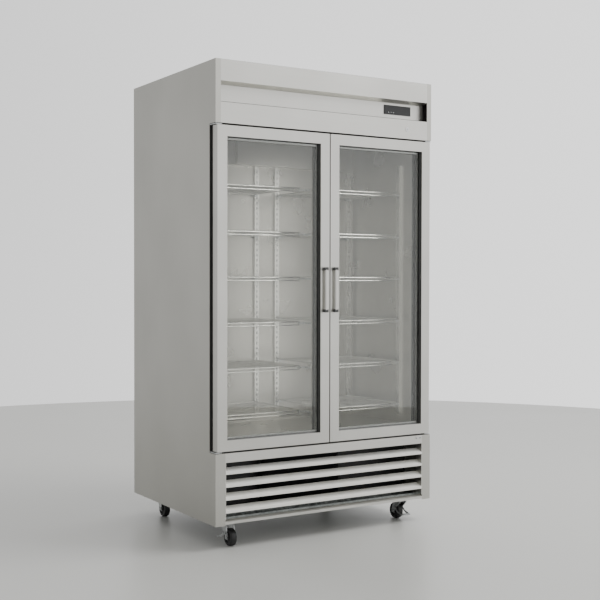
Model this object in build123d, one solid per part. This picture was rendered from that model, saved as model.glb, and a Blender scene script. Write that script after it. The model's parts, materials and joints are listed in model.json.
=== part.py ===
from build123d import *
import os
from math import cos, radians, sin

os.makedirs("parts", exist_ok=True)

# Two-door glass merchandiser refrigerator, in millimetres.
# X runs across the front, Y from the front to the back, Z up from the floor, origin under the middle.

# Driving dimensions
CABINET_WIDTH = 1150
CABINET_DEPTH = 868
CABINET_HEIGHT = 1975
CASTER_HEIGHT = 105
SHEET = 1.2
WALL = 55
HEADER_HEIGHT = 268.5
BASE_HEIGHT = 308
DOOR_GAP = 8
DOOR_SPLIT = 5
DOOR_INSET = 8
DOOR_PROUD = 1.4
DOOR_THICK = 42
DOOR_FRAME_WIDTH = 47
GASKET_THICK = 15.5
SEAL_GAP = 0.5
HANDLE_REACH = 15
HANDLE_LENGTH = 202
SCREW_HEAD = 2.4
SHELF_COUNT = 6
SHELF_PITCH = 203.2
FIRST_SHELF = 557
DUCT_DEPTH = 575

# Planes worked out from them
HALF = CABINET_WIDTH / 2
TOTAL_DEPTH = CABINET_DEPTH + DOOR_PROUD + HANDLE_REACH + SCREW_HEAD
BACK = TOTAL_DEPTH / 2 - SCREW_HEAD
FRONT = BACK - CABINET_DEPTH
BOTTOM = CASTER_HEIGHT
TOP = BOTTOM + CABINET_HEIGHT
HEADER_BOTTOM = TOP - HEADER_HEIGHT
BASE_TOP = BOTTOM + BASE_HEIGHT
DOOR_FRONT = FRONT - DOOR_PROUD
DOOR_BACK = DOOR_FRONT + DOOR_THICK
DOOR_TOP = HEADER_BOTTOM - DOOR_GAP
DOOR_BOTTOM = BASE_TOP + DOOR_GAP
FACE = DOOR_BACK + GASKET_THICK + SEAL_GAP
FACE_THICK = 20
LINER_X = HALF - WALL
LINER_BACK = BACK - WALL
LINER_TOP = TOP - WALL
LINER_FLOOR = BASE_TOP + 42
DUCT = FRONT + DUCT_DEPTH
SKIN_IN = HALF - SHEET

# Header pocket and what sits in it
HEADER_FLANGE = 25
POCKET_TOP = BOTTOM + 1884
POCKET_BOTTOM = BOTTOM + 1795
POCKET_DEPTH = 34
POCKET_SLOPE = 12
STRIP_BOTTOM = BOTTOM + 1803
DISPLAY_X = 398.5
DISPLAY_Z = BOTTOM + 1840.5
BEZEL = (153, 43, 3)
CASE = (143, 35, 20)
KEY = (9, 6)
KEY_TRAVEL = 1
KEY_GAP = 0.4
LOCK_X = 434
LOCK_Z = BOTTOM + 1751
PLUG_RADIUS = 6
RUNNING = 0.05

# Louvred grille in the base
BASE_FLANGE = 47
GRILLE_BOTTOM = BOTTOM + 5
GRILLE_OPEN_BOTTOM = BOTTOM + 24.5
GRILLE_OPEN_TOP = BOTTOM + 268
SLAT_PITCH = 55
SLAT_COUNT = 4
SLAT_LIP = 10.5
FIRST_SLAT = BOTTOM + 52
SLAT_DEPTH = 40
SLAT_RISE = 14
SLAT_THICK = 1.5

# Casters
CASTER_X = HALF - 105
CASTER_FRONT_Y = FRONT + 95
CASTER_BACK_Y = BACK - 95
WHEEL_RADIUS = 38
WHEEL_WIDTH = 28
TRAIL = 30
FORK_INNER = 17
FORK_SHEET = 3
AXLE_RADIUS = 5
KINGPIN_RADIUS = 6
PLATE_THICK = 3
# name, side of the cabinet, row, direction in which the wheel trails, degrees about +Z from +X
CASTERS = (
    ("front_left", -1, CASTER_FRONT_Y, 270),
    ("front_right", 1, CASTER_FRONT_Y, 90),
    ("rear_left", -1, CASTER_BACK_Y, 270),
    ("rear_right", 1, CASTER_BACK_Y, 266),
)

# Refrigeration
RISER_X = 300
RISER_Y = LINER_BACK - 40
TUBE_RADIUS = 6
COMPRESSOR_X = 330
COMPRESSOR_Y = BACK - 240
DISCHARGE_X = COMPRESSOR_X - 132
DISCHARGE_Z = BOTTOM + 90
EVAPORATOR_BOTTOM = BOTTOM + 1600
COVER_X = (-200, 102)
COVER_FRONT = DUCT - 74
BAY_RECESS = 26
LEFT_BAY = 240
RIGHT_BAY = 338
FAN_X = 320
FAN_Z = LINER_TOP - 150
FAN_RADIUS = 85
CONDENSER_FAN_X = -60
CONDENSER_FAN_Z = BOTTOM + 150
CONDENSER_Y = FRONT + 130
CONDENSER_FAN_RADIUS = 95


def block(x, y, z):
    """Box between two corners, each axis given as (low, high)."""
    size = (abs(x[1] - x[0]), abs(y[1] - y[0]), abs(z[1] - z[0]))
    middle = ((x[0] + x[1]) / 2, (y[0] + y[1]) / 2, (z[0] + z[1]) / 2)
    return Pos(*middle) * Box(*size)


def rod(centre, radius, length, axis="z"):
    """Cylinder through a centre, along one axis."""
    turn = {"x": Rot(0, 90, 0), "y": Rot(90, 0, 0), "z": Rot(0, 0, 0)}[axis]
    return Pos(*centre) * turn * Cylinder(radius, length)


def along_x(points, x):
    """Closed outline in the YZ plane, run from x[0] to x[1]."""
    wire = Polyline([(x[0], y, z) for y, z in points], close=True)
    return extrude(make_face(wire), amount=x[1] - x[0], dir=(1, 0, 0))


def along_y(points, y):
    """Closed outline in the XZ plane, run from y[0] to y[1]."""
    wire = Polyline([(x, y[0], z) for x, z in points], close=True)
    return extrude(make_face(wire), amount=y[1] - y[0], dir=(0, 1, 0))


def flip(shape):
    """The same shape on the other side of the cabinet."""
    return mirror(shape, about=Plane.YZ)


def group(*shapes):
    """Separate solids that share a node."""
    solids = []
    for shape in shapes:
        solids.extend(shape.solids())
    return Compound(children=solids)


# Cabinet shell

def side_panel():
    """Left outer skin: notched for the door, with folded front flanges above and below it."""
    outline = [
        (FRONT, BOTTOM), (BACK, BOTTOM), (BACK, TOP), (FRONT, TOP),
        (FRONT, HEADER_BOTTOM), (FACE, HEADER_BOTTOM), (FACE, BASE_TOP), (FRONT, BASE_TOP),
    ]
    skin = along_x(outline, (-HALF, -SKIN_IN))
    front = (FRONT, FRONT + SHEET)
    upper = block((-HALF, -HALF + HEADER_FLANGE), front, (HEADER_BOTTOM, TOP))
    lower = block((-HALF, -HALF + BASE_FLANGE), front, (BOTTOM, BASE_TOP))
    return skin + upper + lower


def back_panel():
    """Rear skin with a bank of exhaust slots low down."""
    panel = block((-SKIN_IN, SKIN_IN), (BACK - SHEET, BACK), (BOTTOM, TOP))
    slot_rows = 6
    for row in range(slot_rows):
        for side in (-1, 1):
            z = BOTTOM + 90 + 26 * row
            x = 230 * side
            panel -= block((x - 150, x + 150), (BACK - 2 * SHEET, BACK + 1), (z, z + 8))
    return panel


def top_panel():
    return block((-SKIN_IN, SKIN_IN), (FRONT + SHEET, BACK - SHEET), (TOP - SHEET, TOP))


def base_frame():
    """Folded steel channels under the body, with the machine deck between them."""
    front_height = 22
    back_height = 40
    web = 3
    front_y = (FRONT + 60, FRONT + 130)
    back_y = (BACK - SHEET - 130, BACK - SHEET)
    pieces = []
    for y, height in ((front_y, front_height), (back_y, back_height)):
        rail = block((-SKIN_IN, SKIN_IN), y, (BOTTOM, BOTTOM + height))
        rail -= block((-HALF, HALF), (y[0] + web, y[1] - web), (BOTTOM + web, BOTTOM + height))
        pieces.append(rail)
    for side in (-1, 1):
        x = (side * SKIN_IN, side * (SKIN_IN - 50))
        pieces.append(block(x, (front_y[1], back_y[0]), (BOTTOM, BOTTOM + web)))
    deck_x = SKIN_IN - 50
    pieces.append(block((-deck_x, deck_x), (front_y[1], back_y[0]), (BOTTOM, BOTTOM + web)))
    return group(*pieces)


def riser_hole():
    return rod((RISER_X, RISER_Y, LINER_FLOOR), TUBE_RADIUS + 1, 4 * WALL)


def liner_panels():
    """Five inner skins of the cold space; the rear and floor close behind the duct panel."""
    y = (FACE + FACE_THICK, LINER_BACK)
    z = (LINER_FLOOR, LINER_TOP)
    left = block((-LINER_X - SHEET, -LINER_X), y, z)
    rear = block((-LINER_X - SHEET, LINER_X + SHEET), (LINER_BACK, LINER_BACK + SHEET), z)
    width = (-LINER_X - SHEET, LINER_X + SHEET)
    depth = (y[0], LINER_BACK + SHEET)
    floor = block(width, depth, (LINER_FLOOR - SHEET, LINER_FLOOR)) - riser_hole()
    ceiling = block(width, depth, (LINER_TOP, LINER_TOP + SHEET))
    return group(left, flip(left), rear, floor, ceiling)


def insulation():
    """Foam slabs between the outer and the inner skins."""
    y = (FACE + FACE_THICK, LINER_BACK + SHEET)
    z = (LINER_FLOOR - SHEET, LINER_TOP + SHEET)
    left = block((-SKIN_IN, -LINER_X - SHEET), y, z)
    rear = block((-SKIN_IN, SKIN_IN), (LINER_BACK + SHEET, BACK - SHEET), z)
    depth = (y[0], BACK - SHEET)
    floor = block((-SKIN_IN, SKIN_IN), depth, (BASE_TOP, z[0])) - riser_hole()
    ceiling = block((-SKIN_IN, SKIN_IN), depth, (z[1], TOP - SHEET))
    return group(left, flip(left), rear, floor, ceiling)


MULLION_HALF = 44
SILL_DROP = 46
HEAD_LAP = 8


def face_frame():
    """Front frame that the doors close against: two jambs, head, sill and centre mullion."""
    y = (FACE, FACE + FACE_THICK)
    sill_z = (BASE_TOP - SILL_DROP, LINER_FLOOR)
    head_z = (DOOR_TOP - DOOR_FRAME_WIDTH + HEAD_LAP, TOP - SHEET)
    jamb = block((-SKIN_IN, -LINER_X), y, (sill_z[1], head_z[0]))
    sill = block((-SKIN_IN, SKIN_IN), y, sill_z)
    head = block((-SKIN_IN, SKIN_IN), y, head_z)
    mullion = block((-MULLION_HALF, MULLION_HALF), y, (sill_z[1], head_z[0]))
    return group(jamb, flip(jamb), sill, head, mullion)


# Inside the cold space

PILASTER_SIZE = (24, 12)
PILASTER_SLOT = (5, 12)
PILASTER_PITCH = 25.4
PILASTER_BOTTOM = LINER_FLOOR + 40
PILASTER_TOP = BOTTOM + 1598
PILASTER_X = 57
REAR_OUTER_X = LINER_X - 30
FRONT_INNER_X = MULLION_HALF - 14


def pilaster(slotted_face):
    """Slotted shelf standard, as a channel whose slotted web faces -Y or, turned, into the cabinet."""
    width, depth = PILASTER_SIZE
    z = (PILASTER_BOTTOM, PILASTER_TOP)
    wall = 1.5
    body = block((-width / 2, width / 2), (-depth, 0), z)
    body -= block((wall - width / 2, width / 2 - wall), (wall - depth, 1), z)
    slots = int((z[1] - z[0]) / PILASTER_PITCH)
    cutters = []
    for index in range(slots):
        low = z[0] + 8 + index * PILASTER_PITCH
        half = PILASTER_SLOT[0] / 2
        cutters.append(block((-half, half), (-depth - 1, wall - depth + 1), (low, low + PILASTER_SLOT[1])))
    body -= cutters
    return Rot(0, 0, slotted_face) * body


FRONT_PILASTER_Y = FRONT + 170


def pilasters():
    """Rear standards on the duct panel, front ones on the side walls, and a pair on the mullion post."""
    rear_inner = Pos(PILASTER_X, DUCT, 0) * pilaster(0)
    rear_outer = Pos(REAR_OUTER_X, DUCT, 0) * pilaster(0)
    front_outer = Pos(LINER_X, FRONT_PILASTER_Y, 0) * pilaster(-90)
    front_inner = Pos(FRONT_INNER_X, FACE + FACE_THICK, 0) * pilaster(180)
    shapes = [rear_inner, rear_outer, front_outer, front_inner]
    return group(*shapes, *[flip(shape) for shape in shapes])


SHELF_X = (68, 486)
SHELF_Y = (FRONT + 145, DUCT - PILASTER_SIZE[1] - 3)
SHELF_DROP = 17
FRAME_WIRE = 5
DECK_WIRE = 3


def shelf():
    """Wire shelf: rim, lower front rail, cross rods and the deck wires that lie over them."""
    left, right = SHELF_X
    front, back = SHELF_Y
    top = 0
    rim_z = (top - DECK_WIRE - FRAME_WIRE, top - DECK_WIRE)
    low_z = (top - SHELF_DROP - FRAME_WIRE, top - SHELF_DROP)
    wires = [
        block((left, right), (front, front + FRAME_WIRE), rim_z),
        block((left, right), (front, front + FRAME_WIRE), low_z),
        block((left, right), (back - FRAME_WIRE, back), rim_z),
        block((left, left + FRAME_WIRE), (front, back), rim_z),
        block((right - FRAME_WIRE, right), (front, back), rim_z),
    ]
    middle = (front + back) / 2
    wires.append(block((left, right), (middle, middle + FRAME_WIRE), rim_z))
    posts = 7
    for index in range(posts):
        x = left + index * (right - left - DECK_WIRE) / (posts - 1)
        wires.append(block((x, x + DECK_WIRE), (front, front + FRAME_WIRE), (low_z[0], rim_z[1])))
    deck_wires = 17
    for index in range(deck_wires):
        x = left + index * (right - left - DECK_WIRE) / (deck_wires - 1)
        wires.append(block((x, x + DECK_WIRE), (front, back), (top - DECK_WIRE - 0.5, top)))
    return wires[0] + wires[1:]


CLIP_SIZE = (12, 14, 8)


def shelf_clips():
    """Clips hooked in the standards, one under each shelf corner."""
    width, depth, height = CLIP_SIZE
    clips = []
    for index in range(SHELF_COUNT):
        top = FIRST_SHELF + index * SHELF_PITCH - DECK_WIRE - FRAME_WIRE
        z = (top - height, top)
        rear_y = (DUCT - PILASTER_SIZE[1] - depth, DUCT - PILASTER_SIZE[1])
        inner = block((PILASTER_X, PILASTER_X + width + 8), rear_y, z)
        outer = block((REAR_OUTER_X - 12 - width, REAR_OUTER_X), rear_y, z)
        x = (SHELF_X[1] - 2, LINER_X - PILASTER_SIZE[1])
        side = block(x, (FRONT_PILASTER_Y - width / 2, FRONT_PILASTER_Y + width / 2), z)
        arm_y = (FACE + FACE_THICK + PILASTER_SIZE[1], SHELF_Y[0] + FRAME_WIRE + width + 1)
        arm = block((FRONT_INNER_X - width / 2, FRONT_INNER_X + width / 2), arm_y, z)
        arm += block((FRONT_INNER_X, SHELF_X[0] + 2), (arm_y[1] - width, arm_y[1]), z)
        clips.extend([inner, outer, side, arm])
    return group(*clips, *[flip(clip) for clip in clips])


def rear_duct_panel():
    """Visible rear wall of the cold space, with the fan openings above and return slots below."""
    panel = block((-LINER_X, LINER_X), (DUCT, DUCT + SHEET), (LINER_FLOOR, LINER_TOP))
    for side in (-1, 1):
        panel -= rod((side * FAN_X, DUCT, FAN_Z), FAN_RADIUS + 4, 10, "y")
        for row in range(4):
            z = LINER_FLOOR + 10 + 8 * row
            x = side * 260
            panel -= block((x - 180, x + 180), (DUCT - 1, DUCT + 2 * SHEET), (z, z + 4))
    return panel


def evaporator_cover():
    """Cover box over the coil's middle, flanked by two set-back fan bays."""
    z = (EVAPORATOR_BOTTOM, LINER_TOP)
    x = COVER_X
    box = block(x, (COVER_FRONT, DUCT), z)
    box -= block((x[0] + SHEET, x[1] - SHEET), (COVER_FRONT + SHEET, DUCT + 1), (z[0] + SHEET, z[1] + 1))
    pieces = [box]
    front = COVER_FRONT + BAY_RECESS
    for bay in ((x[0] - LEFT_BAY, x[0]), (x[1], x[1] + RIGHT_BAY)):
        shell = block(bay, (front, DUCT), z)
        shell -= block((bay[0] + SHEET, bay[1] - SHEET), (front + SHEET, DUCT + 1), (z[0] + SHEET, z[1] + 1))
        middle = -FAN_X if bay[0] < 0 else FAN_X
        shell -= rod((middle, front, FAN_Z), FAN_RADIUS + 4, 20, "y")
        pieces.append(shell)
    return group(*pieces)


def evaporator_coil():
    """Finned coil in the duct behind the fans."""
    z = (EVAPORATOR_BOTTOM + 60, LINER_TOP - 20)
    y = (DUCT + 70, DUCT + 150)
    coil = block((-400, 400), y, z)
    bends = []
    for index in range(5):
        for side in (-1, 1):
            height = z[0] + 24 + index * 46
            bends.append(rod((side * 408, (y[0] + y[1]) / 2, height), TUBE_RADIUS, 16, "x"))
    return coil + bends


def drain_pan():
    z = (EVAPORATOR_BOTTOM + 20, EVAPORATOR_BOTTOM + 48)
    y = (DUCT + 50, DUCT + 170)
    pan = block((-430, 430), y, z)
    return pan - block((-428, 428), (y[0] + 2, y[1] - 2), (z[0] + 2, z[1] + 1))


def light_bars():
    """Lamp strips down the back of the mullion."""
    y = (FACE + FACE_THICK, FACE + FACE_THICK + 10)
    bar = block((2, 15), y, (PILASTER_BOTTOM, PILASTER_TOP))
    return group(bar, flip(bar))


def fan(centre, radius, depth, hub_radius, blade_count):
    """Axial fan rotor turning about Y: hub and pitched blades."""
    rotor = Cylinder(hub_radius, depth)
    blades = []
    for index in range(blade_count):
        blade = Pos(radius / 2 + 2, 0, 0) * Rot(32, 0, 0) * Box(radius - 4, radius * 0.52, 1.6)
        blades.append(Rot(0, 0, index * 360 / blade_count) * blade)
    rotor = rotor + blades
    rotor = rotor & Cylinder(radius, 4 * depth)
    return Pos(*centre) * Rot(90, 0, 0) * rotor


# Header

def header_cover():
    """Upper fascia folded into the pocket's sloping ceiling and the set-back control strip."""
    half = HALF - HEADER_FLANGE
    ceiling_back = POCKET_TOP - POCKET_SLOPE
    strip = FRONT + POCKET_DEPTH
    outline = [
        (FRONT, TOP - SHEET), (FRONT, POCKET_TOP), (strip, ceiling_back), (strip, STRIP_BOTTOM),
        (strip + SHEET, STRIP_BOTTOM), (strip + SHEET, ceiling_back + SHEET),
        (FRONT + SHEET, POCKET_TOP + SHEET), (FRONT + SHEET, TOP - SHEET),
    ]
    sheet = along_x(outline, (-half, half))
    width, height = CASE[:2]
    hole_x = (DISPLAY_X - width / 2, DISPLAY_X + width / 2)
    hole_z = (DISPLAY_Z - height / 2, DISPLAY_Z + height / 2)
    return sheet - block(hole_x, (strip - 1, strip + 2), hole_z)


def header_lower_fascia():
    """Lower fascia with its ledge under the pocket, a stiffening return and the lock's hole."""
    half = HALF - HEADER_FLANGE
    ledge = FRONT + POCKET_DEPTH + 12
    outline = [
        (FRONT, HEADER_BOTTOM), (FRONT, POCKET_BOTTOM), (ledge, POCKET_BOTTOM),
        (ledge, POCKET_BOTTOM - SHEET), (FRONT + SHEET, POCKET_BOTTOM - SHEET),
        (FRONT + SHEET, HEADER_BOTTOM + SHEET), (FRONT + 30, HEADER_BOTTOM + SHEET),
        (FRONT + 30, HEADER_BOTTOM),
    ]
    sheet = along_x(outline, (-half, half))
    return sheet - rod((LOCK_X, FRONT, LOCK_Z), PLUG_RADIUS + 3, 10, "y")


KEY_PLACES = (("set", -52), ("down", -38), ("up", -24))
KEY_Z = DISPLAY_Z - 12
WINDOW_SIZE = (78, 26)
WINDOW_X = DISPLAY_X + 24


def key_pocket(offset, grow):
    """Box of one key's stem, or of its hole when grown by the clearance."""
    x = DISPLAY_X + offset
    width = KEY[0] / 2 + grow
    height = KEY[1] / 2 + grow
    front = FRONT + POCKET_DEPTH - BEZEL[2]
    return block((x - width, x + width), (front - 1, front + 6 + grow), (KEY_Z - height, KEY_Z + height))


def controller_case():
    """Thermostat housing: bezel over the strip, body through it, with key holes and window recess."""
    strip = FRONT + POCKET_DEPTH
    width, height, thick = BEZEL
    z = (DISPLAY_Z - height / 2, DISPLAY_Z + height / 2)
    case = block((DISPLAY_X - width / 2, DISPLAY_X + width / 2), (strip - thick, strip), z)
    case_z = (DISPLAY_Z - CASE[1] / 2, DISPLAY_Z + CASE[1] / 2)
    case += block((DISPLAY_X - CASE[0] / 2, DISPLAY_X + CASE[0] / 2), (strip, strip + CASE[2]), case_z)
    for _, offset in KEY_PLACES:
        case -= key_pocket(offset, KEY_GAP + KEY_TRAVEL)
        case += key_ring(offset)
    return case - display_window()


def key_ring(offset):
    """Collar that narrows the key's hole to its running gap at the bezel's face."""
    front = FRONT + POCKET_DEPTH - BEZEL[2]
    outer = key_pocket(offset, KEY_GAP + KEY_TRAVEL)
    slab = block((DISPLAY_X - 90, DISPLAY_X + 90), (front, front + 1.5), (KEY_Z - 20, KEY_Z + 20))
    return (outer & slab) - key_pocket(offset, KEY_GAP)


def display_window():
    front = FRONT + POCKET_DEPTH - BEZEL[2]
    width, height = WINDOW_SIZE
    x = (WINDOW_X - width / 2, WINDOW_X + width / 2)
    return block(x, (front + 0.4, front + 2), (DISPLAY_Z - height / 2, DISPLAY_Z + height / 2))


def lock_barrel():
    """Fixed sleeve of the cam lock with its face ring."""
    sleeve = rod((LOCK_X, FRONT + 8, LOCK_Z), PLUG_RADIUS + 3, 16, "y")
    sleeve += rod((LOCK_X, FRONT - 0.6, LOCK_Z), PLUG_RADIUS + 4.5, 1.2, "y")
    return sleeve - rod((LOCK_X, FRONT, LOCK_Z), PLUG_RADIUS + RUNNING, 60, "y")


def lock_plug():
    """Turning core with the key slot, and the cam behind the sleeve."""
    plug = rod((LOCK_X, FRONT + 9.3, LOCK_Z), PLUG_RADIUS, 20, "y")
    plug -= block((LOCK_X - 0.8, LOCK_X + 0.8), (FRONT - 3, FRONT + 4), (LOCK_Z - 4, LOCK_Z + 4))
    return plug + block((LOCK_X - 5, LOCK_X + 5), (FRONT + 17, FRONT + 19), (LOCK_Z - 24, LOCK_Z + 5))


# Base grille

def grille_frame():
    """Base fascia: top rail, two stiles and the bevelled bottom rail around the louvres."""
    half = HALF - BASE_FLANGE
    margin = 3
    y = (FRONT, FRONT + SHEET)
    top = along_x([
        (FRONT, GRILLE_OPEN_TOP), (FRONT, BASE_TOP), (FRONT + 30, BASE_TOP), (FRONT + 30, BASE_TOP - SHEET),
        (FRONT + SHEET, BASE_TOP - SHEET), (FRONT + SHEET, GRILLE_OPEN_TOP)], (-half, half))
    bottom = along_x([
        (FRONT, GRILLE_BOTTOM), (FRONT, GRILLE_OPEN_BOTTOM - 8), (FRONT + 16, GRILLE_OPEN_BOTTOM),
        (FRONT + 16, GRILLE_OPEN_BOTTOM - SHEET), (FRONT + SHEET, GRILLE_OPEN_BOTTOM - 8 - SHEET),
        (FRONT + SHEET, GRILLE_BOTTOM)], (-half, half))
    stile = block((-half, -half + margin), (FRONT, FRONT + 45), (GRILLE_OPEN_BOTTOM, GRILLE_OPEN_TOP))
    return group(top, bottom, stile, flip(stile))


def grille_slats():
    """Louvre blades: an upright front lip and a blade that climbs towards the back."""
    half = HALF - BASE_FLANGE - 3
    slats = []
    for index in range(SLAT_COUNT):
        low = FIRST_SLAT + index * SLAT_PITCH
        high = low + SLAT_LIP
        outline = [
            (FRONT, low), (FRONT, high), (FRONT + SLAT_DEPTH, high + SLAT_RISE),
            (FRONT + SLAT_DEPTH, high + SLAT_RISE - SLAT_THICK), (FRONT + SLAT_THICK, high - SLAT_THICK),
            (FRONT + SLAT_THICK, low),
        ]
        slats.append(along_x(outline, (-half, half)))
    return group(*slats)


def fasteners():
    """Pan-head screws, as heads that lie on the grille's top rail and on the rear panel."""
    radius = 4.5
    heads = [rod((x, FRONT - SCREW_HEAD / 2, BOTTOM + 296), radius, SCREW_HEAD, "y") for x in (493, 515)]
    for x in (-540, 0, 540):
        for z in (BOTTOM + 60, 900, 1500, TOP - 60):
            heads.append(rod((x, BACK + SCREW_HEAD / 2, z), radius, SCREW_HEAD, "y"))
    return group(*heads)


# Machine compartment

def compressor():
    """Hermetic compressor: domed shell on a foot plate."""
    base = BOTTOM + 3
    foot = block(
        (COMPRESSOR_X - 110, COMPRESSOR_X + 110), (COMPRESSOR_Y - 60, COMPRESSOR_Y + 60), (base + 12, base + 16))
    for x in (-90, 90):
        for y in (-45, 45):
            foot += rod((COMPRESSOR_X + x, COMPRESSOR_Y + y, base + 6), 10, 12)
    shell = rod((COMPRESSOR_X, COMPRESSOR_Y, base + 101), 82, 170)
    shell = fillet(shell.edges().filter_by(GeomType.CIRCLE), 40)
    return foot + shell


def condenser_coil():
    """Finned block behind the louvres, with hairpin ends."""
    z = (BOTTOM + 45, BOTTOM + 255)
    coil = block((-260, 140), (CONDENSER_Y + 6, CONDENSER_Y + 60), z)
    bends = []
    for index in range(5):
        for x in (-266, 146):
            bends.append(rod((x, CONDENSER_Y + 33, z[0] + 25 + 40 * index), TUBE_RADIUS, 12, "x"))
    return coil + bends


def condenser_shroud():
    """Baffle across the machine space behind the coil, with the fan's round throat."""
    y = (CONDENSER_Y + 66, CONDENSER_Y + 70)
    panel = block((-SKIN_IN, SKIN_IN), y, (BOTTOM + 3, BASE_TOP))
    centre = (CONDENSER_FAN_X, CONDENSER_Y + 78, CONDENSER_FAN_Z)
    panel += rod(centre, CONDENSER_FAN_RADIUS + 8, 24, "y")
    panel -= rod((DISCHARGE_X, y[0], DISCHARGE_Z), TUBE_RADIUS + 2, 40, "y")
    return panel - rod(centre, CONDENSER_FAN_RADIUS + 5, 80, "y")


def refrigerant_lines():
    """Suction riser from the compressor to the coil, and the discharge line to the condenser."""
    top = EVAPORATOR_BOTTOM + 90
    shell_top = BOTTOM + 3 + 186
    riser = FilletPolyline(
        (COMPRESSOR_X, COMPRESSOR_Y, shell_top), (COMPRESSOR_X, COMPRESSOR_Y, shell_top + 60),
        (RISER_X, RISER_Y, shell_top + 60), (RISER_X, RISER_Y, top), (RISER_X, DUCT + 150, top), radius=24)
    shell_side = COMPRESSOR_X - 82
    low = DISCHARGE_Z
    coil_y = CONDENSER_Y + 33
    discharge = FilletPolyline(
        (shell_side, COMPRESSOR_Y, low), (DISCHARGE_X, COMPRESSOR_Y, low),
        (DISCHARGE_X, coil_y, low), (152, coil_y, low), radius=18)
    tubes = []
    for path in (riser, discharge):
        start = Plane(origin=path @ 0, z_dir=path % 0)
        tubes.append(sweep(start * Circle(TUBE_RADIUS), path=path))
    return group(*tubes)


# Doors

HINGE_X = HALF - 20
HINGE_Y = DOOR_FRONT + 20
PIN_RADIUS = 5
BRACKET_THICK = 4


def hinge_bracket(door_edge, away):
    """Left corner bracket with its pin; away is +1 above the door and -1 below it."""
    plate_z = (door_edge + 2 * away, door_edge + (2 + BRACKET_THICK) * away)
    x = (-SKIN_IN, -SKIN_IN + 30)
    plate = block(x, (DOOR_FRONT + 4, FACE), plate_z)
    leg = block(x, (FACE - BRACKET_THICK, FACE), (plate_z[0], door_edge + 40 * away))
    pin = rod((-HINGE_X, HINGE_Y, door_edge - 8 * away), PIN_RADIUS, 20)
    return plate + leg + pin


def hinge_brackets():
    upper = hinge_bracket(DOOR_TOP, 1)
    lower = hinge_bracket(DOOR_BOTTOM, -1)
    return group(upper, lower, flip(upper), flip(lower))


DOOR_X = (-HALF + DOOR_INSET, -DOOR_SPLIT / 2)
DOOR_SKIN = 1.5
LINING = 3


def door_frame():
    """Left door's outer frame: two folded stiles and two rails, open behind, with pin holes."""
    left, right = DOOR_X
    width = DOOR_FRAME_WIDTH
    y = (DOOR_FRONT, DOOR_BACK)
    z = (DOOR_BOTTOM, DOOR_TOP)
    hinge_stile = block((left, left + width), y, z)
    hinge_stile -= block(
        (left + DOOR_SKIN, left + width + 1), (y[0] + DOOR_SKIN, y[1] + 1), (z[0] + 2, z[1] - 2))
    for edge in z:
        hinge_stile -= rod((-HINGE_X, HINGE_Y, edge), PIN_RADIUS + RUNNING, 20)
    inner_stile = block((right - width, right), y, z)
    inner_stile -= block(
        (right - width - 1, right - DOOR_SKIN), (y[0] + DOOR_SKIN, y[1] + 1), (z[0] + 2, z[1] - 2))
    rail_x = (left + width, right - width)
    top_rail = block(rail_x, y, (z[1] - width, z[1]))
    top_rail -= block(rail_x, (y[0] + DOOR_SKIN, y[1] + 1), (z[1] - width - 1, z[1] - 2))
    bottom_rail = block(rail_x, y, (z[0], z[0] + width))
    bottom_rail -= block(rail_x, (y[0] + DOOR_SKIN, y[1] + 1), (z[0] + 2, z[0] + width + 1))
    return group(hinge_stile, inner_stile, top_rail, bottom_rail)


def ring(x, y, z, width):
    """Four bars around a rectangle, width inwards, upright bars full height."""
    return [
        block((x[0], x[0] + width), y, z),
        block((x[1] - width, x[1]), y, z),
        block((x[0] + width, x[1] - width), y, (z[0], z[0] + width)),
        block((x[0] + width, x[1] - width), y, (z[1] - width, z[1])),
    ]


GASKET_INSET = 14
GASKET_WIDTH = 18


def door_aperture():
    """The glass opening's X and Z ranges."""
    x = (DOOR_X[0] + DOOR_FRAME_WIDTH, DOOR_X[1] - DOOR_FRAME_WIDTH)
    z = (DOOR_BOTTOM + DOOR_FRAME_WIDTH, DOOR_TOP - DOOR_FRAME_WIDTH)
    return x, z


def door_seal():
    """Moulded inner lining of the frame with its back flange, and the magnetic gasket on it."""
    x, z = door_aperture()
    y = (DOOR_FRONT + DOOR_SKIN, DOOR_BACK)
    outer_x = (x[0] - LINING, x[1] + LINING)
    outer_z = (z[0] - LINING, z[1] + LINING)
    lining = ring(outer_x, y, outer_z, LINING)
    back_x = (DOOR_X[0] + 2, DOOR_X[1] - 2)
    back_z = (DOOR_BOTTOM + 2, DOOR_TOP - 2)
    flange = ring(back_x, (DOOR_BACK, DOOR_BACK + LINING), back_z, DOOR_FRAME_WIDTH - 2)
    gasket_x = (DOOR_X[0] + GASKET_INSET, DOOR_X[1] - GASKET_INSET)
    gasket_z = (DOOR_BOTTOM + GASKET_INSET, DOOR_TOP - GASKET_INSET)
    gasket = ring(gasket_x, (DOOR_BACK + LINING, DOOR_BACK + GASKET_THICK), gasket_z, GASKET_WIDTH)
    return group(*lining, *flange, *gasket)


PANE = 4
GLASS_FRONT = DOOR_FRONT + 18
GLASS_UNIT = 20


def door_glass():
    """Two panes of the insulating glass unit."""
    x, z = door_aperture()
    front = block(x, (GLASS_FRONT, GLASS_FRONT + PANE), z)
    rear = block(x, (GLASS_FRONT + GLASS_UNIT - PANE, GLASS_FRONT + GLASS_UNIT), z)
    return group(front, rear)


HANDLE_X = -DOOR_SPLIT / 2 - 24
HANDLE_Z = (BOTTOM + 900, BOTTOM + 900 + HANDLE_LENGTH)
HANDLE_BAR = (22, 5)
HANDLE_FOOT = 14


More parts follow.
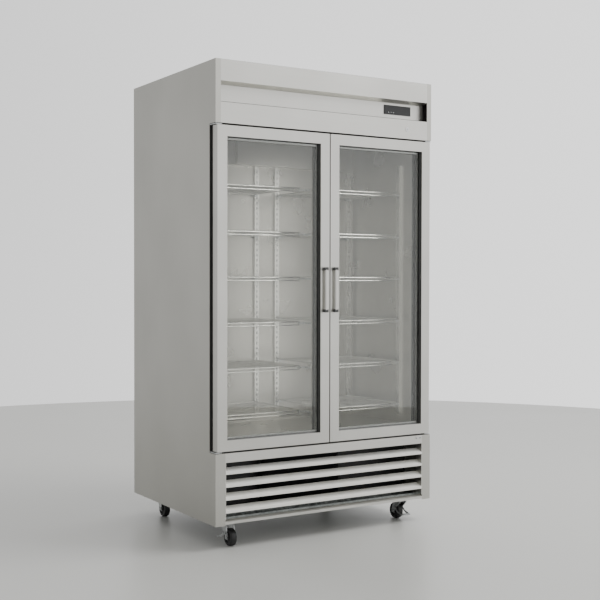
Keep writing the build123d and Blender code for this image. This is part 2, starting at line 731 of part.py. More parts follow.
def door_handle():
    """Pull bar on two end posts, on the inner stile."""
    width, thick = HANDLE_BAR
    x = (HANDLE_X - width / 2, HANDLE_X + width / 2)
    front = DOOR_FRONT - HANDLE_REACH
    bar = block(x, (front, front + thick), HANDLE_Z)
    bar = fillet(bar.edges().filter_by(Axis.Z), 2)
    foot = HANDLE_FOOT
    lower = block((x[0] + 2, x[1] - 2), (front + thick, DOOR_FRONT), (HANDLE_Z[0], HANDLE_Z[0] + foot))
    upper = block((x[0] + 2, x[1] - 2), (front + thick, DOOR_FRONT), (HANDLE_Z[1] - foot, HANDLE_Z[1]))
    return group(bar, lower, upper)


# Casters: built with the kingpin at the origin and the wheel trailing along +X

RACE_BOTTOM = CASTER_HEIGHT - PLATE_THICK - 6
WEB = (RACE_BOTTOM - 6, RACE_BOTTOM - 0.5)
PEDAL_PIVOT = (20, 56)


def caster_plate():
    plate = block((-48, 48), (-34, 34), (CASTER_HEIGHT - PLATE_THICK, CASTER_HEIGHT))
    plate += rod((0, 0, (RACE_BOTTOM + CASTER_HEIGHT) / 2), 26, CASTER_HEIGHT - RACE_BOTTOM)
    plate += rod((0, 0, RACE_BOTTOM - 6), KINGPIN_RADIUS, 12)
    return plate + rod((0, 0, WEB[0] - 3), 9, 4)


def caster_fork(with_brake):
    """Folded fork with its axle; braked ones carry the pedal's pivot studs."""
    outer = FORK_INNER + FORK_SHEET
    low = WHEEL_RADIUS - 9
    leg_outline = [
        (-24, WEB[1]), (24, WEB[1]), (TRAIL + 11, WHEEL_RADIUS + 6), (TRAIL + 11, low),
        (TRAIL - 11, low), (TRAIL - 11, WHEEL_RADIUS + 6), (-24, WEB[0] - 6),
    ]
    fork = along_y(leg_outline, (-outer, -FORK_INNER)) + along_y(leg_outline, (FORK_INNER, outer))
    fork += block((-24, 24), (-outer, outer), WEB)
    fork -= rod((0, 0, WEB[0]), KINGPIN_RADIUS + RUNNING, 30)
    axle = rod((TRAIL, 0, WHEEL_RADIUS), AXLE_RADIUS, 2 * outer, "y")
    fork -= axle
    for side in (-1, 1):
        axle += rod((TRAIL, side * (outer + 1.5), WHEEL_RADIUS), 8, 3, "y")
        if with_brake:
            fork += rod((PEDAL_PIVOT[0], side * (outer + 2.5), PEDAL_PIVOT[1]), 3, 5, "y")
    return group(fork, axle)


def caster_wheel():
    """Tyre and hub in one, crowned at the tread, with the axle's bore."""
    half = WHEEL_WIDTH / 2
    crown = 5
    outline = [
        (AXLE_RADIUS + RUNNING, -16), (12, -16), (14, -9), (26, -9), (27, -half),
        (WHEEL_RADIUS - crown, -half), (WHEEL_RADIUS, -half + crown), (WHEEL_RADIUS, half - crown),
        (WHEEL_RADIUS - crown, half), (27, half), (26, 9), (14, 9), (12, 16), (AXLE_RADIUS + RUNNING, 16),
    ]
    face = make_face(Polyline([(r, 0, w) for r, w in outline], close=True))
    wheel = revolve(face, axis=Axis.Z)
    return Pos(TRAIL, 0, WHEEL_RADIUS) * Rot(90, 0, 0) * wheel


def brake_pedal():
    """Tongue on the leading side, on two arms that pivot outside the fork."""
    inner = FORK_INNER + FORK_SHEET + 1
    outer = inner + 2.5
    arm = [(26, 50), (26, 62), (14, 62), (-10, 42), (-50, 31), (-50, 26), (-14, 32), (10, 48)]
    pedal = along_y(arm, (-outer, -inner)) + along_y(arm, (inner, outer))
    tread = [(-50, 26), (-50, 31), (-38, 34), (-38, 29)]
    pedal += along_y(tread, (-outer, outer))
    return pedal - rod((PEDAL_PIVOT[0], 0, PEDAL_PIVOT[1]), 3 + RUNNING, 80, "y")


def place_caster(shape, side, row, heading):
    return Pos(side * CASTER_X, row, 0) * Rot(0, 0, heading) * shape


def build():
    """Every node of the merchandiser by name."""
    nodes = {
        "side_panel_left": side_panel(),
        "side_panel_right": flip(side_panel()),
        "back_panel": back_panel(),
        "top_panel": top_panel(),
        "base_frame": base_frame(),
        "liner_panels": liner_panels(),
        "insulation": insulation(),
        "face_frame": face_frame(),
        "rear_duct_panel": rear_duct_panel(),
        "pilasters": pilasters(),
        "shelf_clips": shelf_clips(),
        "evaporator_cover": evaporator_cover(),
        "evaporator_coil": evaporator_coil(),
        "drain_pan": drain_pan(),
        "light_bars": light_bars(),
        "header_cover": header_cover(),
        "header_lower_fascia": header_lower_fascia(),
        "controller_case": controller_case(),
        "display_window": display_window(),
        "lock_barrel": lock_barrel(),
        "lock_plug": lock_plug(),
        "grille_frame": grille_frame(),
        "grille_slats": grille_slats(),
        "fasteners": fasteners(),
        "compressor": compressor(),
        "condenser_coil": condenser_coil(),
        "condenser_shroud": condenser_shroud(),
        "refrigerant_lines": refrigerant_lines(),
        "hinge_brackets": hinge_brackets(),
    }
    for name, offset in KEY_PLACES:
        nodes["key_" + name] = key_pocket(offset, 0)

    wires = shelf()
    for index in range(SHELF_COUNT):
        lifted = Pos(0, 0, FIRST_SHELF + index * SHELF_PITCH) * wires
        nodes[f"shelves_level_{index + 1}"] = group(lifted, flip(lifted))

    fan_y = DUCT - 16
    rotor = fan((FAN_X, fan_y, FAN_Z), FAN_RADIUS, 24, 22, 5)
    nodes["evaporator_fan_right"] = rotor
    nodes["evaporator_fan_left"] = Pos(-2 * FAN_X, 0, 0) * rotor
    condenser_place = (CONDENSER_FAN_X, CONDENSER_Y + 90, CONDENSER_FAN_Z)
    nodes["condenser_fan"] = fan(condenser_place, CONDENSER_FAN_RADIUS, 30, 26, 5)

    door_parts = {"frame": door_frame(), "seal": door_seal(), "glass": door_glass(), "handle": door_handle()}
    for name, shape in door_parts.items():
        nodes["door_left_" + name] = shape
        nodes["door_right_" + name] = flip(shape)

    plates = []
    for name, side, row, heading in CASTERS:
        braked = name.startswith("front")
        plates.append(place_caster(caster_plate(), side, row, 0))
        nodes["caster_fork_" + name] = place_caster(caster_fork(braked), side, row, heading)
        nodes["caster_wheel_" + name] = place_caster(caster_wheel(), side, row, heading)
        if braked:
            nodes["brake_pedal_" + name] = place_caster(brake_pedal(), side, row, heading)
    nodes["caster_plates"] = group(*plates)
    return nodes


def joint_places():
    """Axis points that the joints use, printed for whoever writes the joint list."""
    print("hinge", HINGE_X, HINGE_Y, "face", FACE, "front", FRONT, "back", BACK)
    for name, side, row, heading in CASTERS:
        turn = radians(heading)
        x, y = side * CASTER_X, row
        wheel = (x + TRAIL * cos(turn), y + TRAIL * sin(turn), WHEEL_RADIUS)
        print(name, (x, y), wheel, "axle", (-sin(turn), cos(turn), 0))


for node, solid in build().items():
    export_step(solid, f"parts/{node}.step")
joint_places()
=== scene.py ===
import json
from math import cos, pi, radians, sin

import bmesh
import bpy
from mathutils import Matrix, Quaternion, Vector


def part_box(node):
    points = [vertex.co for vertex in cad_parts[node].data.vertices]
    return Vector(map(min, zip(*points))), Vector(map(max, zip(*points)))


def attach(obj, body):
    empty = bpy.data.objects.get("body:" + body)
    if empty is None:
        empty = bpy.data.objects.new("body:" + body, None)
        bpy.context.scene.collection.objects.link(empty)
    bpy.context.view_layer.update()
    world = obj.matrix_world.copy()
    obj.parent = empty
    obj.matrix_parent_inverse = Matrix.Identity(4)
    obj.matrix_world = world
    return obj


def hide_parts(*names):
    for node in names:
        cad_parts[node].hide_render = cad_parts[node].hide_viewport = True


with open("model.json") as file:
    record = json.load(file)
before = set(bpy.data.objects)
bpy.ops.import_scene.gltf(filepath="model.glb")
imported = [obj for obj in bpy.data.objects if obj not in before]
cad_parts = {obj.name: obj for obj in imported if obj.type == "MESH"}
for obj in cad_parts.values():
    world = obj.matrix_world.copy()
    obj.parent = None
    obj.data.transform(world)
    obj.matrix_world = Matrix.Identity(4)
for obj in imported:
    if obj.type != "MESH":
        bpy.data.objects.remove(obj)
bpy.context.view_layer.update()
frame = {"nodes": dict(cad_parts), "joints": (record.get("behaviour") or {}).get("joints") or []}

# A two-door glass merchandiser refrigerator. Metres, X across the doors, Y to the back, Z up.
# CAD nodes keep their shape and get a finish here; pieces made below replace or join them.

MM = 0.001
CABINET = "cabinet"
SIDES = (("left", -1), ("right", 1))


# Small helpers

def srgb(code):
    """A hex colour as linear RGBA."""
    out = []
    for i in (0, 2, 4):
        c = int(code[i:i + 2], 16) / 255
        out.append(c / 12.92 if c <= 0.04045 else ((c + 0.055) / 1.055) ** 2.4)
    return (*out, 1.0)


def add(tree, kind, values=None, links=None, **settings):
    """One node with its settings, its input values and the sockets that feed it."""
    node = tree.nodes.new(kind)
    for key, value in settings.items():
        setattr(node, key, value)
    for key, value in (values or {}).items():
        node.inputs[key].default_value = value
    for key, source in (links or {}).items():
        tree.links.new(source, node.inputs[key])
    return node


def maths(tree, operation, first, second=None):
    """One Math node on sockets or numbers."""
    node = add(tree, "ShaderNodeMath", operation=operation)
    for index, value in enumerate((first, second)):
        if value is None:
            continue
        if isinstance(value, (int, float)):
            node.inputs[index].default_value = value
        else:
            tree.links.new(value, node.inputs[index])
    return node.outputs[0]


def start_material(name, **shader_values):
    """A material with one Principled shader; returns it, its tree and the shader."""
    material = bpy.data.materials.new(name)
    material.use_nodes = True
    tree = material.node_tree
    tree.nodes.clear()
    shader = add(tree, "ShaderNodeBsdfPrincipled", shader_values)
    add(tree, "ShaderNodeOutputMaterial", links={"Surface": shader.outputs[0]})
    return material, tree, shader


def ramp(tree, source, low, high, start=0.3, end=0.7):
    """Source spread between two colours or two greys."""
    node = add(tree, "ShaderNodeValToRGB", links={"Fac": source})
    for element, place, colour in zip(node.color_ramp.elements, (start, end), (low, high)):
        element.position = place
        element.color = colour
    return node.outputs["Color"]


def grey(value):
    return (value, value, value, 1.0)


# Materials. Colours are sRGB hex, sizes in millimetres.

def brushed(name, tone, stretch, roughness, streak=1.6):
    """Number 4 brushed stainless sheet: grain a tenth of a millimetre wide, drawn about ten times
    coarser so that it shows, and long along the polishing direction; soft cloudy rolling marks."""
    material, tree, shader = start_material(name, **{"Metallic": 1.0})
    place = add(tree, "ShaderNodeTexCoord").outputs["Object"]
    grain_size = [1 / (streak * MM)] * 3
    grain_size["xyz".index(stretch)] = 1 / (260 * MM)
    grain_at = add(tree, "ShaderNodeMapping", {"Scale": grain_size}, {"Vector": place}).outputs[0]
    grain = add(tree, "ShaderNodeTexNoise", {"Scale": 1.0, "Detail": 3.0, "Roughness": 0.6},
                {"Vector": grain_at}).outputs["Fac"]
    cloud = add(tree, "ShaderNodeTexNoise", {"Scale": 1 / (420 * MM), "Detail": 2.0},
                {"Vector": place}).outputs["Fac"]
    dull, bright = tone
    base = add(tree, "ShaderNodeMix", {"Factor": 0.25}, data_type="RGBA")
    tree.links.new(ramp(tree, cloud, srgb(dull), srgb(bright), 0.25, 0.75), base.inputs[6])
    tree.links.new(ramp(tree, grain, srgb(dull), srgb(bright)), base.inputs[7])
    tree.links.new(base.outputs[2], shader.inputs["Base Color"])
    rough = ramp(tree, grain, grey(roughness - 0.05), grey(roughness + 0.07))
    tree.links.new(rough, shader.inputs["Roughness"])
    bump = add(tree, "ShaderNodeBump", {"Strength": 0.05, "Distance": 0.02 * MM}, {"Height": grain})
    tree.links.new(bump.outputs[0], shader.inputs["Normal"])
    return material


def mottled(name, tone, spot_mm, rough, metallic=0.0, bump_mm=0.0, detail=3.0, **shader_values):
    """A finish whose colour and gloss wander gently between two tones over spot_mm."""
    material, tree, shader = start_material(name, **{"Metallic": metallic, **shader_values})
    place = add(tree, "ShaderNodeTexCoord").outputs["Object"]
    spots = add(tree, "ShaderNodeTexNoise", {"Scale": 1 / (spot_mm * MM), "Detail": detail},
                {"Vector": place}).outputs["Fac"]
    tree.links.new(ramp(tree, spots, srgb(tone[0]), srgb(tone[1])), shader.inputs["Base Color"])
    tree.links.new(ramp(tree, spots, grey(rough[0]), grey(rough[1])), shader.inputs["Roughness"])
    if bump_mm:
        bump = add(tree, "ShaderNodeBump", {"Strength": 0.4, "Distance": bump_mm * MM}, {"Height": spots})
        tree.links.new(bump.outputs[0], shader.inputs["Normal"])
    return material


def galvanised():
    """Hot-dip galvanised sheet: zinc crystals about 14 mm across, each a slightly different grey."""
    material, tree, shader = start_material("hot_dip_galvanised_sheet", **{"Metallic": 1.0})
    place = add(tree, "ShaderNodeTexCoord").outputs["Object"]
    crystal = add(tree, "ShaderNodeTexVoronoi", {"Scale": 1 / (14 * MM), "Randomness": 1.0},
                  {"Vector": place}).outputs["Color"]
    shade = add(tree, "ShaderNodeSeparateColor", links={"Color": crystal}).outputs[0]
    tree.links.new(ramp(tree, shade, srgb("8F9494"), srgb("B4B8B7"), 0.0, 1.0), shader.inputs["Base Color"])
    tree.links.new(ramp(tree, shade, grey(0.38), grey(0.52), 0.0, 1.0), shader.inputs["Roughness"])
    return material


def door_glass():
    """Float glass: clear, with the reflection of its two surfaces growing towards a glancing view."""
    material = bpy.data.materials.new("tempered_float_glass")
    material.use_nodes = True
    tree = material.node_tree
    tree.nodes.clear()
    clear = add(tree, "ShaderNodeBsdfTransparent", {"Color": srgb("FEFEFD")}).outputs[0]
    shine = add(tree, "ShaderNodeBsdfGlossy", {"Color": srgb("F4F6F5"), "Roughness": 0.02}).outputs[0]
    facing = add(tree, "ShaderNodeLayerWeight", {"Blend": 0.5}).outputs["Facing"]
    # Schlick's curve for IOR 1.5: 4 % straight on, all of it at a glancing view.
    curve = maths(tree, "POWER", facing, 5.0)
    share = maths(tree, "ADD", maths(tree, "MULTIPLY", curve, 0.96), 0.04)
    mix = add(tree, "ShaderNodeMixShader", links={0: share, 1: clear, 2: shine}).outputs[0]
    add(tree, "ShaderNodeOutputMaterial", links={"Surface": mix})
    return material


def lamp(name, code, strength):
    """A lit segment or dot of the display: glowing plastic."""
    return start_material(name, **{
        "Base Color": srgb(code), "Roughness": 0.4,
        "Emission Color": srgb(code), "Emission Strength": strength})[0]


STEEL_UPRIGHT = brushed("brushed_stainless_upright_grain", ("BDBCB7", "CFCEC9"), "z", 0.34)
STEEL_LEVEL = brushed("brushed_stainless_level_grain", ("C3C2BD", "D2D1CC"), "x", 0.34)
# Side panels: the same brushed stainless, rougher and in a darker tone; the darker tone is painted shade for the
# sides turned away from the light.
STEEL_SIDE_SHADED = brushed("brushed_stainless_side_painted_shade", ("B2B1AB", "BFBEB8"), "z", 0.40)
GALVANISED = galvanised()
# Stainless liner with a mill finish: smoother than the outside, so it mirrors the doorways softly.
LINER = mottled("mill_finish_stainless_liner", ("B9B7B1", "C6C4BE"), 160, (0.26, 0.34), 1.0)
# Face frame in charcoal moulded PVC, a little chalky; the dark colour is also painted shade, so that the gaps round
# the doors are dark as they are in shade.
BREAKER_AND_GAP_SHADE = mottled("pvc_breaker_strip_and_painted_gap_shade", ("2E2E2D", "393938"), 40, (0.42, 0.5), 0.0, 0.02)
# Polyurethane foam poured between the skins: fine open cells, cream coloured.
FOAM = mottled("poured_polyurethane_foam", ("CDBE8C", "DCCF9F"), 6, (0.85, 0.95), 0.0, 0.6)
CHROME_WIRE = mottled("chromed_shelf_wire", ("D0D0CC", "E2E2DE"), 30, (0.16, 0.24), 1.0)
ZINC = mottled("bright_zinc_plate", ("A9ABAB", "C6C8C8"), 12, (0.24, 0.36), 1.0)
FINS = mottled("mill_aluminium_fins", ("A7A9AB", "BDBFC1"), 20, (0.35, 0.5), 1.0)
COPPER = mottled("drawn_copper_tube", ("A8623C", "C57F55"), 18, (0.25, 0.4), 1.0)
ENAMEL = mottled("black_compressor_enamel", ("08090A", "131416"), 25, (0.22, 0.32), 0.0, 0.03)
RUBBER = mottled("black_epdm_gasket", ("0C0C0C", "171716"), 5, (0.55, 0.7), 0.0, 0.03)
LINING = mottled("extruded_black_pvc_lining", ("353533", "41413F"), 30, (0.3, 0.42), 0.0)
SPACER = mottled("anodised_spacer_bar", ("8C8E8C", "A3A5A3"), 9, (0.3, 0.42), 1.0)
TYRE = mottled("moulded_polyurethane_tyre", ("0B0B0B", "171717"), 8, (0.42, 0.6), 0.0, 0.04)
CORE = mottled("glass_filled_nylon_core", ("191919", "262626"), 6, (0.38, 0.5), 0.0, 0.03)
# The condenser side is coloured black as painted shade, so that it stays dark behind the louvres as it does in
# shade.
SHADE_BLACK_FINS = mottled("fins_painted_black_as_shade", ("101112", "191A1B"), 20, (0.4, 0.55), 0.0)
SHADE_BLACK_SHEET = mottled("sheet_painted_black_as_shade", ("141414", "1C1C1C"), 12, (0.45, 0.6), 0.0, 0.02)
FAN_NYLON = mottled("moulded_fan_nylon", ("111212", "1D1E1E"), 8, (0.35, 0.48), 0.0, 0.02)
BLACK_ABS = mottled("spark_textured_black_abs", ("0C0D0E", "151617"), 1.5, (0.28, 0.38), 0.0, 0.02)
# End fittings of the door pulls, moulded in dark grey nylon.
GREY_NYLON = mottled("moulded_grey_nylon", ("343434", "404040"), 6, (0.4, 0.52), 0.0, 0.02)
KEY_RUBBER = mottled("silicone_keys", ("33363A", "43464A"), 3, (0.5, 0.62), 0.0, 0.02)
# Smoked acrylic over the digits: glossy, nearly black until something glows behind it.
WINDOW = mottled("smoked_acrylic_window", ("070B0C", "0B1012"), 20, (0.05, 0.09), 0.0)
CHROME = mottled("polished_chrome_lock", ("C9C9C9", "DEDEDE"), 10, (0.07, 0.14), 1.0)
DIFFUSER = mottled("opal_acrylic_diffuser", ("DADAD4", "E6E6E1"), 15, (0.35, 0.45), 0.0)
SLAT = mottled("satin_anodised_louvre", ("E6E5DE", "EFEEE8"), 45, (0.38, 0.5), 0.0)
GLASS = door_glass()
GREEN_LED = lamp("green_led_segment", "3FE0A8", 2.2)
RED_LED = lamp("red_led_dot", "F2564A", 2.0)

NODE_FINISH = {
    "side_panel_left": STEEL_SIDE_SHADED, "side_panel_right": STEEL_SIDE_SHADED, "back_panel": GALVANISED,
    "top_panel": GALVANISED, "base_frame": GALVANISED, "liner_panels": LINER, "insulation": FOAM,
    "face_frame": BREAKER_AND_GAP_SHADE, "rear_duct_panel": LINER, "pilasters": CHROME_WIRE, "shelf_clips": ZINC,
    "evaporator_cover": LINER, "drain_pan": LINER, "light_bars": DIFFUSER, "header_cover": STEEL_LEVEL,
    "header_lower_fascia": STEEL_LEVEL, "controller_case": BLACK_ABS, "display_window": WINDOW,
    "lock_barrel": CHROME, "lock_plug": CHROME, "grille_frame": STEEL_LEVEL, "grille_slats": SLAT,
    "compressor": ENAMEL, "condenser_shroud": SHADE_BLACK_SHEET, "refrigerant_lines": COPPER,
    "hinge_brackets": ZINC, "caster_plates": ZINC,
    "evaporator_coil": FINS, "condenser_coil": SHADE_BLACK_FINS, "fasteners": ZINC,
}
for key in ("set", "down", "up"):
    NODE_FINISH["key_" + key] = KEY_RUBBER
for side, _ in SIDES:
    NODE_FINISH[f"door_{side}_frame"] = STEEL_UPRIGHT
    NODE_FINISH[f"door_{side}_glass"] = GLASS
    NODE_FINISH[f"door_{side}_seal"] = RUBBER
    NODE_FINISH[f"door_{side}_handle"] = STEEL_UPRIGHT
    NODE_FINISH[f"evaporator_fan_{side}"] = FAN_NYLON
NODE_FINISH["condenser_fan"] = FAN_NYLON
CORNERS = ("front_left", "front_right", "rear_left", "rear_right")
for corner in CORNERS:
    NODE_FINISH["caster_fork_" + corner] = ZINC
    NODE_FINISH["caster_wheel_" + corner] = TYRE
for corner in CORNERS[:2]:
    NODE_FINISH["brake_pedal_" + corner] = ZINC
for level in range(1, 7):
    NODE_FINISH[f"shelves_level_{level}"] = CHROME_WIRE

for node_name, finish in NODE_FINISH.items():
    mesh = frame["nodes"][node_name].data
    mesh.materials.clear()
    mesh.materials.append(finish)


# Making meshes

def piece(name, bm, finish, body, replaces=(), smooth=False, weld=True):
    """A finished piece: mesh in place at the origin, riding on its body."""
    if weld:
        bmesh.ops.remove_doubles(bm, verts=bm.verts, dist=0.00001)
    mesh = bpy.data.meshes.new(name)
    bm.to_mesh(mesh)
    bm.free()
    return settle(name, mesh, finish, body, replaces, smooth)


def settle(name, mesh, finish, body, replaces=(), smooth=False):
    """Puts a finished mesh in the scene as a piece of the object."""
    mesh.name = name
    mesh.materials.clear()
    mesh.materials.append(finish)
    for polygon in mesh.polygons:
        polygon.material_index = 0
    if smooth:
        mesh.shade_smooth()
        mesh.set_sharp_from_angle(angle=radians(35))
    obj = bpy.data.objects.new(name, mesh)
    bpy.context.scene.collection.objects.link(obj)
    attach(obj, body)
    if replaces:
        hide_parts(*replaces)
    return obj


def slab(bm, low, high, bevel=0.0):
    """Box between two corners, its edges rounded off by bevel."""
    made = bmesh.ops.create_cube(bm, size=1.0)["verts"]
    for vert in made:
        vert.co = Vector(l + (h - l) * (c + 0.5) for l, h, c in zip(low, high, vert.co))
    if bevel:
        edges = list({edge for vert in made for edge in vert.link_edges})
        bmesh.ops.bevel(bm, geom=edges, offset=bevel, segments=2, affect="EDGES", profile=0.7)


def lathe(bm, profile, centre, axis, steps=40):
    """Closed (radius, along) outline turned about an axis through centre."""
    axis = Vector(axis).normalized()
    side = axis.orthogonal().normalized()
    rings = []
    for step in range(steps):
        spoke = Quaternion(axis, 2 * pi * step / steps) @ side
        rings.append([bm.verts.new(Vector(centre) + spoke * r + axis * a) for r, a in profile])
    count = len(profile)
    faces = []
    for step in range(steps):
        here, there = rings[step], rings[(step + 1) % steps]
        for i in range(count):
            j = (i + 1) % count
            faces.append(bm.faces.new((here[i], there[i], there[j], here[j])))
    bmesh.ops.recalc_face_normals(bm, faces=faces)


def frame_sweep(bm, outline, x, z):
    """Closed (inset, y) outline run round the rectangle x by z with mitred corners."""
    corners = ((x[0], z[0], 1, 1), (x[1], z[0], -1, 1), (x[1], z[1], -1, -1), (x[0], z[1], 1, -1))
    loops = [[bm.verts.new((cx + sx * inset, y, cz + sz * inset)) for inset, y in outline]
             for cx, cz, sx, sz in corners]
    faces = []
    count = len(outline)
    for k in range(4):
        here, there = loops[k], loops[(k + 1) % 4]
        for i in range(count):
            j = (i + 1) % count
            faces.append(bm.faces.new((here[i], here[j], there[j], there[i])))
    bmesh.ops.recalc_face_normals(bm, faces=faces)


# Geometry Nodes: shared ways to open and to close a tree

def open_tree(name, inputs):
    """A new tree with named inputs; returns it and its group input node."""
    tree = bpy.data.node_groups.new(name, "GeometryNodeTree")
    for label, kind in inputs:
        tree.interface.new_socket(name=label, in_out="INPUT", socket_type="NodeSocket" + kind)
    tree.interface.new_socket(name="Geometry", in_out="OUTPUT", socket_type="NodeSocketGeometry")
    return tree, add(tree, "NodeGroupInput").outputs


def close_tree(tree, geometry, finish):
    """Instances made real, material set, result given out."""
    real = add(tree, "GeometryNodeRealizeInstances", links={"Geometry": geometry})
    painted = add(tree, "GeometryNodeSetMaterial", {"Material": finish}, {"Geometry": real.outputs[0]})
    add(tree, "NodeGroupOutput", links={0: painted.outputs[0]})


def grow(tree, values, host=None):
    """The plain mesh that a tree gives for these input values."""
    if host is None:
        host = bpy.data.meshes.new("seed")
    obj = bpy.data.objects.new("seed", host)
    bpy.context.scene.collection.objects.link(obj)
    modifier = obj.modifiers.new("tree", "NODES")
    modifier.node_group = tree
    sockets = {s.name: s.identifier for s in tree.interface.items_tree if s.in_out == "INPUT"}
    for label, value in values.items():
        modifier[sockets[label]] = value
    bpy.context.view_layer.update()
    graph = bpy.context.evaluated_depsgraph_get()
    mesh = bpy.data.meshes.new_from_object(obj.evaluated_get(graph))
    obj.modifiers.clear()
    bpy.data.objects.remove(obj)
    return mesh


def vector(tree, x=0.0, y=0.0, z=0.0):
    """Three sockets or numbers joined to a vector."""
    node = add(tree, "ShaderNodeCombineXYZ")
    for index, value in enumerate((x, y, z)):
        if isinstance(value, (int, float)):
            node.inputs[index].default_value = value
        else:
            tree.links.new(value, node.inputs[index])
    return node.outputs[0]


def rod_along(tree, curve, radius, sides=8):
    """Round wire along a curve."""
    profile = add(tree, "GeometryNodeCurvePrimitiveCircle", {"Resolution": sides}, {"Radius": radius})
    return add(tree, "GeometryNodeCurveToMesh", {"Fill Caps": True},
               {"Curve": curve, "Profile Curve": profile.outputs[0]}).outputs[0]


def line(tree, start, end):
    return add(tree, "GeometryNodeCurvePrimitiveLine", links={"Start": start, "End": end}).outputs[0]


def spread(tree, geometry, count, start, step):
    """Copies of a geometry on a straight row of points."""
    row = add(tree, "GeometryNodeMeshLine", links={"Count": count, "Start Location": start, "Offset": step})
    return add(tree, "GeometryNodeInstanceOnPoints",
               links={"Points": row.outputs[0], "Instance": geometry}).outputs[0]


def joined(tree, parts):
    node = add(tree, "GeometryNodeJoinGeometry")
    for part in parts:
        tree.links.new(part, node.inputs[0])
    return node.outputs[0]


# Wire shelves

def shelf_tree():
    """Rim, cross rods and deck wires, with a zigzag truss between the two front rails."""
    tree, given = open_tree("wire_shelf", (
        ("Left", "Float"), ("Right", "Float"), ("Front", "Float"), ("Back", "Float"), ("Top", "Float"),
        ("Drop", "Float"), ("Rim radius", "Float"), ("Deck radius", "Float"),
        ("Deck wires", "Int"), ("Zigzags", "Int")))
    left, right, front, back, top = (given[k] for k in ("Left", "Right", "Front", "Back", "Top"))
    rim, thin = given["Rim radius"], given["Deck radius"]
    rim_z = maths(tree, "SUBTRACT", maths(tree, "SUBTRACT", top, maths(tree, "MULTIPLY", thin, 2.0)), rim)
    low_z = maths(tree, "SUBTRACT", maths(tree, "SUBTRACT", top, given["Drop"]), rim)
    x0, x1 = maths(tree, "ADD", left, rim), maths(tree, "SUBTRACT", right, rim)
    y0, y1 = maths(tree, "ADD", front, rim), maths(tree, "SUBTRACT", back, rim)
    parts = []
    for ya, yb, xa, xb, z in (
            (y0, y0, x0, x1, rim_z), (y1, y1, x0, x1, rim_z), (y0, y1, x0, x0, rim_z),
            (y0, y1, x1, x1, rim_z), (y0, y0, x0, x1, low_z)):
        parts.append(rod_along(tree, line(tree, vector(tree, xa, ya, z), vector(tree, xb, yb, z)), rim))
    middle = maths(tree, "MULTIPLY", maths(tree, "ADD", front, back), 0.5)
    parts.append(rod_along(
        tree, line(tree, vector(tree, x0, middle, rim_z), vector(tree, x1, middle, rim_z)), rim))
    deck_z = maths(tree, "SUBTRACT", top, thin)
    wire = rod_along(tree, line(tree, vector(tree, 0.0, front, 0.0), vector(tree, 0.0, back, 0.0)), thin, 6)
    gaps = maths(tree, "SUBTRACT", given["Deck wires"], 1.0)
    pitch = maths(tree, "DIVIDE", maths(tree, "SUBTRACT", x1, x0), gaps)
    parts.append(spread(tree, wire, given["Deck wires"], vector(tree, x0, 0.0, deck_z),
                        vector(tree, pitch, 0.0, 0.0)))
    turns = maths(tree, "ADD", maths(tree, "MULTIPLY", given["Zigzags"], 2.0), 1.0)
    step = maths(tree, "DIVIDE", maths(tree, "SUBTRACT", x1, x0), maths(tree, "MULTIPLY", given["Zigzags"], 2.0))
    row = add(tree, "GeometryNodeMeshLine", links={
        "Count": turns, "Start Location": vector(tree, x0, y0, low_z), "Offset": vector(tree, step, 0.0, 0.0)})
    odd = maths(tree, "MODULO", add(tree, "GeometryNodeInputIndex").outputs[0], 2.0)
    rise = maths(tree, "MULTIPLY", odd, maths(tree, "SUBTRACT", rim_z, low_z))
    bent = add(tree, "GeometryNodeSetPosition", links={
        "Geometry": row.outputs[0], "Offset": vector(tree, 0.0, 0.0, rise)})
    zigzag = add(tree, "GeometryNodeMeshToCurve", links={"Mesh": bent.outputs[0]}).outputs[0]
    parts.append(rod_along(tree, zigzag, thin, 6))
    close_tree(tree, joined(tree, parts), CHROME_WIRE)
    return tree


SHELF_INNER = 0.068
shelf = shelf_tree()
for level in range(1, 7):
    low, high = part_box(f"shelves_level_{level}")
    halves = bmesh.new()
    for sign in (-1, 1):
        ends = sorted((sign * SHELF_INNER, sign * high[0]))
        made = grow(shelf, {
            "Left": ends[0], "Right": ends[1], "Front": low[1], "Back": high[1], "Top": high[2],
            "Drop": 0.017, "Rim radius": 0.0025, "Deck radius": 0.0015, "Deck wires": 25, "Zigzags": 21})
        halves.from_mesh(made)
    piece(f"wire_shelves_{level}", halves, CHROME_WIRE, CABINET,
          [f"shelves_level_{level}"], smooth=True, weld=False)


# Finned coils

def coil_tree():
    """Thin plates in a row."""
    tree, given = open_tree("fin_pack", (
        ("Corner", "Vector"), ("Size", "Vector"), ("Thickness", "Float"), ("Fins", "Int")))
    size = add(tree, "ShaderNodeSeparateXYZ", links={0: given["Size"]}).outputs
    plate = add(tree, "GeometryNodeMeshCube", links={
        "Size": vector(tree, given["Thickness"], size[1], size[2])}).outputs[0]
    half = add(tree, "ShaderNodeVectorMath", {1: (0.0, 0.5, 0.5)}, {0: given["Size"]}, operation="MULTIPLY")
    start = add(tree, "ShaderNodeVectorMath", links={0: given["Corner"], 1: half.outputs[0]}, operation="ADD")
    pitch = maths(tree, "DIVIDE", size[0], maths(tree, "SUBTRACT", given["Fins"], 1.0))
    row = spread(tree, plate, given["Fins"], start.outputs[0], vector(tree, pitch, 0.0, 0.0))
    close_tree(tree, row, FINS)
    return tree


